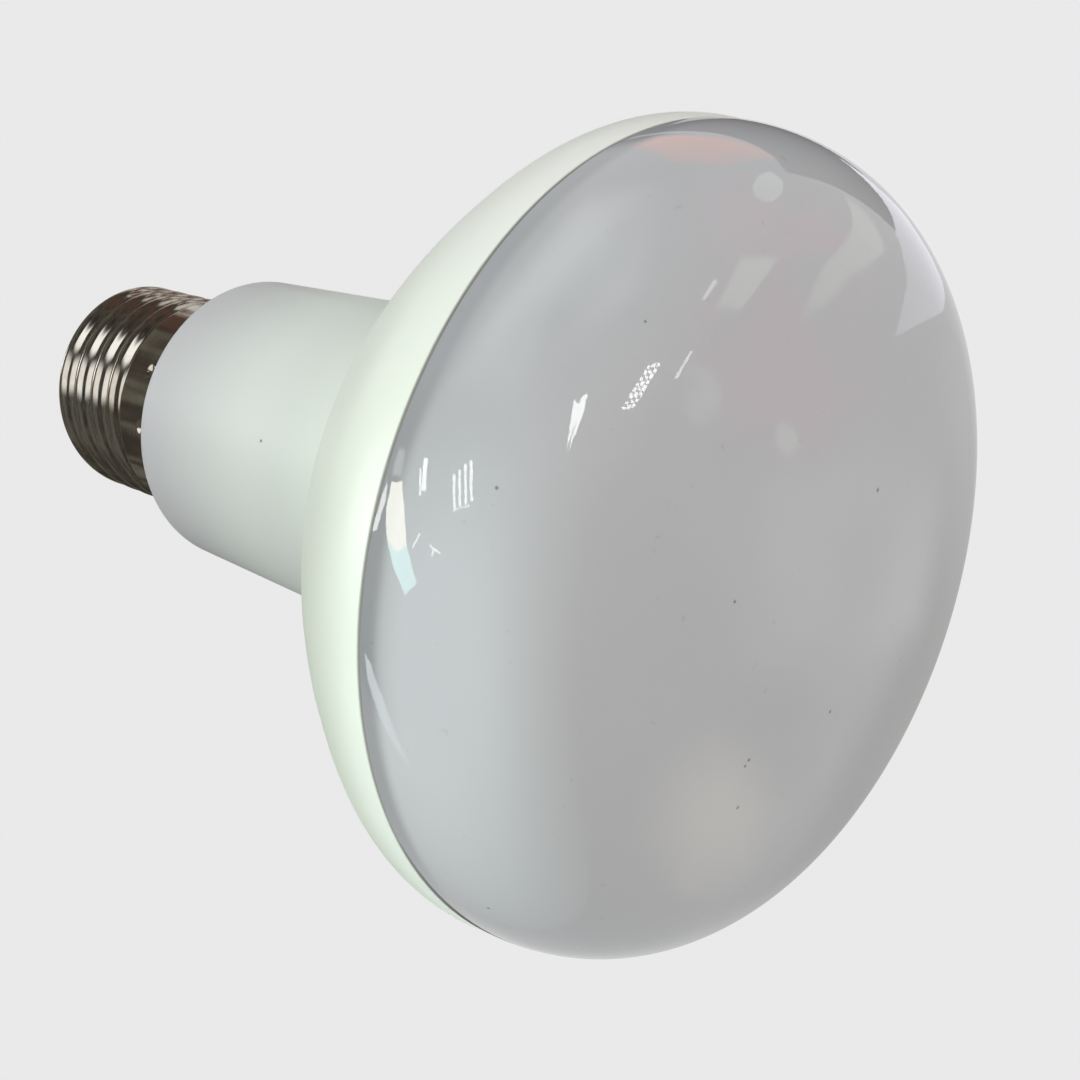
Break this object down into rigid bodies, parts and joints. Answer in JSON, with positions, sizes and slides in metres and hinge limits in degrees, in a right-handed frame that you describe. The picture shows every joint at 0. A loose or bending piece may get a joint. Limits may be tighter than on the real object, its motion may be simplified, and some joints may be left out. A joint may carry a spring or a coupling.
{
  "type": "reflector bulb",
  "caption": "Reflector lamp with a shallow opal dome, a white flared bowl on a straight neck, and a nickel screw cap with a centre contact.",
  "frame": {"origin": "apex of the dome, on the lamp's axis, where the lamp stands", "axes": "+Z along the lamp's axis from the dome to the centre contact; X and Y are free to turn about it"},
  "size_m": [0.0798, 0.0798, 0.1138],
  "materials": {
    "white_plastic": "satin white moulded plastic",
    "opal_plastic": "glossy opal plastic, lightly dusty",
    "nickel": "bright nickel plating",
    "black_insulator": "glossy black moulding",
    "contact_metal": "plain nickel-plated rivet"
  },
  "bodies": {
    "root": {"housing": "white_plastic", "diffuser": "opal_plastic", "screw_shell": "nickel", "cap_insulator": "black_insulator", "centre_contact": "contact_metal"}
  },
  "joints": []
}
